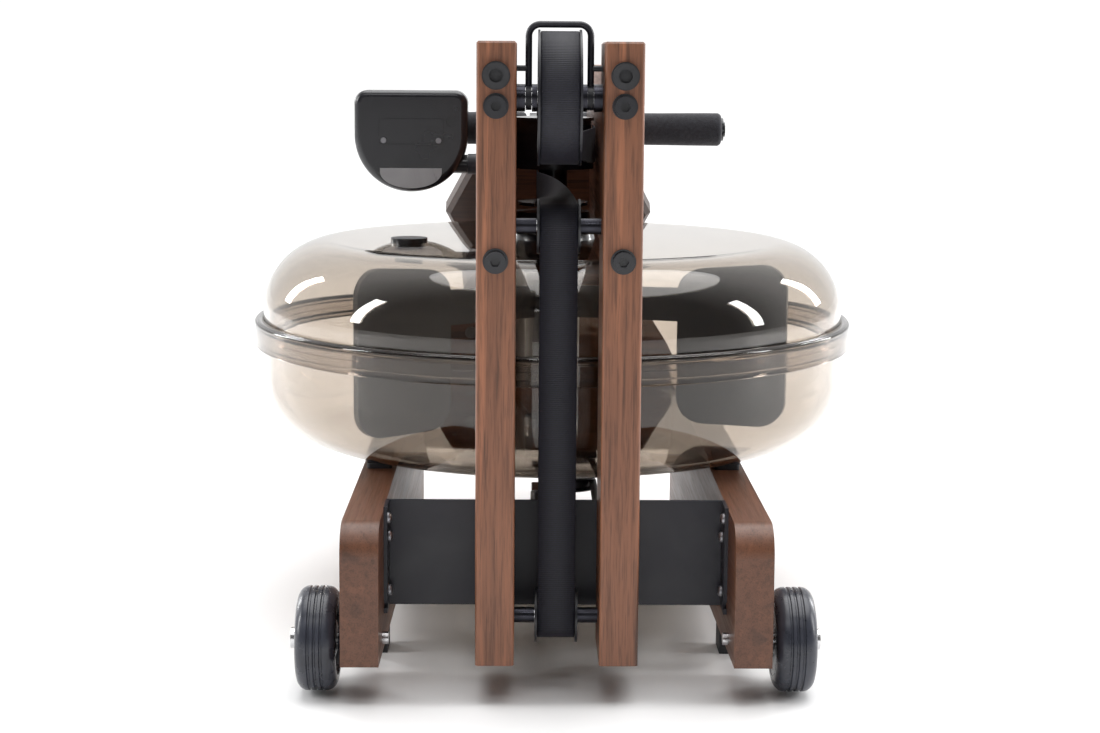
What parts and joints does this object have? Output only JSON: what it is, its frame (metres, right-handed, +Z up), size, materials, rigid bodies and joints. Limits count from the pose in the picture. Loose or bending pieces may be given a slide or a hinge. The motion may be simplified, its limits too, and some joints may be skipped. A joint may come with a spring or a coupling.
{
  "type": "rowing machine",
  "caption": "Water-resistance rowing machine: wooden frame with a clear paddle tank, strap-driven handle, sliding seat on twin rails, footboard and tilting monitor.",
  "frame": {"origin": "on the floor, at the middle of the machine's footprint", "axes": "+Z up, -Y towards the tank end, +Y towards the rower's end of the rails, +X to the right when facing the tank end from outside"},
  "size_m": [0.5639, 2.1, 0.5346],
  "materials": {
    "walnut": "satin oiled walnut",
    "black_steel": "black powder coat",
    "steel": "bright plated steel",
    "black_rubber": "matt black rubber",
    "foam": "soft black foam",
    "black_plastic": "moulded black plastic",
    "button_plastic": "grey rubbery plastic",
    "smoked_clear": "smoked clear polycarbonate, polished",
    "band_clear": "frosted clear polymer band",
    "webbing": "ribbed black webbing",
    "bungee": "braided shock cord",
    "track": "low-friction black strip",
    "cushion_cover": "black padded cover",
    "lens": "clear display window",
    "board_green": "circuit board and cells"
  },
  "bodies": {
    "root": {"axles": "steel", "base_board_left": "walnut", "base_board_right": "walnut", "belt_guard": "black_steel", "bulkhead": "walnut", "bungee_cord": "bungee", "bungee_fittings": "steel", "cross_plate": "black_steel", "deck_block": "walnut", "deck_board_left": "walnut", "deck_board_right": "walnut", "drive_strap": "webbing", "foot_straps": "webbing", "footboard": "walnut", "footboard_supports": "walnut", "frame_screws": "steel", "handle_rests": "black_rubber", "monitor_arm": "black_steel", "post_bolts": "black_steel", "post_left": "walnut", "post_right": "walnut", "rail_left": "walnut", "rail_right": "walnut", "rail_tracks": "track", "rear_leg": "walnut", "recoil_strap": "webbing", "rubber_bumpers": "black_rubber", "rubber_feet": "black_rubber", "spacers": "black_plastic", "tank_band": "band_clear", "tank_fittings": "black_plastic", "tank_lower": "smoked_clear", "tank_upper": "smoked_clear"},
    "handle": {"handle_bar": "steel", "handle_grips": "foam"},
    "drum": {"drum": "black_plastic"},
    "impeller": {"impeller": "black_plastic", "impeller_shaft": "steel"},
    "top_pulley": {"top_pulley": "black_plastic"},
    "middle_pulley": {"middle_pulley": "black_plastic"},
    "bottom_pulley": {"bottom_pulley": "black_plastic"},
    "recoil_hook": {"recoil_hook": "steel"},
    "bungee_pulley": {"bungee_pulley": "black_plastic"},
    "wheel_left": {"wheel_left": "black_plastic"},
    "wheel_right": {"wheel_right": "black_plastic"},
    "seat": {"seat_carriage": "black_steel", "seat_cushion": "cushion_cover"},
    "seat_rollers_front": {"seat_rollers_front": "steel"},
    "seat_rollers_rear": {"seat_rollers_rear": "steel"},
    "heel_left": {"heel_rest_left": "black_plastic"},
    "heel_right": {"heel_rest_right": "black_plastic"},
    "monitor": {"monitor_back": "black_plastic", "monitor_front": "black_plastic", "monitor_lens": "lens", "monitor_electronics": "board_green", "battery_cover": "black_plastic", "monitor_screws": "steel"},
    "button_left": {"button_left": "button_plastic"},
    "button_middle": {"button_middle": "button_plastic"},
    "button_right": {"button_right": "button_plastic"}
  },
  "joints": [
    {"name": "handle_pull", "type": "slide", "parent": "root", "child": "handle", "axis": [0, 1, 0], "range_m": [0, 1.2], "stiffness_N_per_m": 12, "springref_m": -0.5},
    {"name": "drum_spin", "type": "hinge", "parent": "root", "child": "drum", "pos_m": [0, -0.672, 0.429], "axis": [0, 0, 1], "continuous": true},
    {"name": "top_pulley_spin", "type": "hinge", "parent": "root", "child": "top_pulley", "pos_m": [0, -0.995, 0.475], "axis": [1, 0, 0], "continuous": true},
    {"name": "middle_pulley_spin", "type": "hinge", "parent": "root", "child": "middle_pulley", "pos_m": [0, -0.995, 0.3745], "axis": [1, 0, 0], "continuous": true},
    {"name": "bottom_pulley_spin", "type": "hinge", "parent": "root", "child": "bottom_pulley", "pos_m": [0, -0.995, 0.06], "axis": [1, 0, 0], "continuous": true},
    {"name": "recoil_hook_slide", "type": "slide", "parent": "root", "child": "recoil_hook", "axis": [0, -1, 0], "range_m": [0, 0.46]},
    {"name": "bungee_pulley_spin", "type": "hinge", "parent": "root", "child": "bungee_pulley", "pos_m": [0.025, -0.41, 0.0429], "axis": [0, 0, 1], "continuous": true},
    {"name": "impeller_spin", "type": "hinge", "parent": "root", "child": "impeller", "pos_m": [0, -0.672, 0.2], "axis": [0, 0, 1], "continuous": true},
    {"name": "wheel_left_spin", "type": "hinge", "parent": "root", "child": "wheel_left", "pos_m": [-0.19, -1.005, 0.0435], "axis": [1, 0, 0], "continuous": true},
    {"name": "wheel_right_spin", "type": "hinge", "parent": "root", "child": "wheel_right", "pos_m": [0.19, -1.005, 0.0435], "axis": [1, 0, 0], "continuous": true},
    {"name": "seat_slide", "type": "slide", "parent": "root", "child": "seat", "axis": [0, 1, 0], "range_m": [-0.62, 0.32]},
    {"name": "roller_front_spin", "type": "hinge", "parent": "seat", "child": "seat_rollers_front", "pos_m": [0, 0.5, 0.2454], "axis": [1, 0, 0], "continuous": true},
    {"name": "roller_rear_spin", "type": "hinge", "parent": "seat", "child": "seat_rollers_rear", "pos_m": [0, 0.62, 0.2454], "axis": [1, 0, 0], "continuous": true},
    {"name": "heel_left_slide", "type": "slide", "parent": "root", "child": "heel_left", "axis": [0, -0.6428, 0.766], "range_m": [0, 0.06]},
    {"name": "heel_right_slide", "type": "slide", "parent": "root", "child": "heel_right", "axis": [0, -0.6428, 0.766], "range_m": [0, 0.06]},
    {"name": "monitor_tilt", "type": "hinge", "parent": "root", "child": "monitor", "pos_m": [-0.075, -0.424, 0.393], "axis": [1, 0, 0], "range_deg": [0, 25]},
    {"name": "button_left_press", "type": "slide", "parent": "monitor", "child": "button_left", "axis": [0, -1, 0], "range_m": [0, 0.0012], "stiffness_N_per_m": 400},
    {"name": "button_middle_press", "type": "slide", "parent": "monitor", "child": "button_middle", "axis": [0, -1, 0], "range_m": [0, 0.0012], "stiffness_N_per_m": 400},
    {"name": "button_right_press", "type": "slide", "parent": "monitor", "child": "button_right", "axis": [0, -1, 0], "range_m": [0, 0.0012], "stiffness_N_per_m": 400}
  ],
  "couplings": [
    {"joint": "drum_spin", "follows": "handle_pull", "rad_per_m": -27.778},
    {"joint": "top_pulley_spin", "follows": "handle_pull", "rad_per_m": -19.55},
    {"joint": "middle_pulley_spin", "follows": "handle_pull", "rad_per_m": -22.157},
    {"joint": "bottom_pulley_spin", "follows": "handle_pull", "rad_per_m": -22.157},
    {"joint": "recoil_hook_slide", "follows": "handle_pull", "ratio": 0.38},
    {"joint": "bungee_pulley_spin", "follows": "handle_pull", "rad_per_m": 13.52},
    {"joint": "roller_front_spin", "follows": "seat_slide", "rad_per_m": -58.824},
    {"joint": "roller_rear_spin", "follows": "seat_slide", "rad_per_m": -58.824}
  ]
}
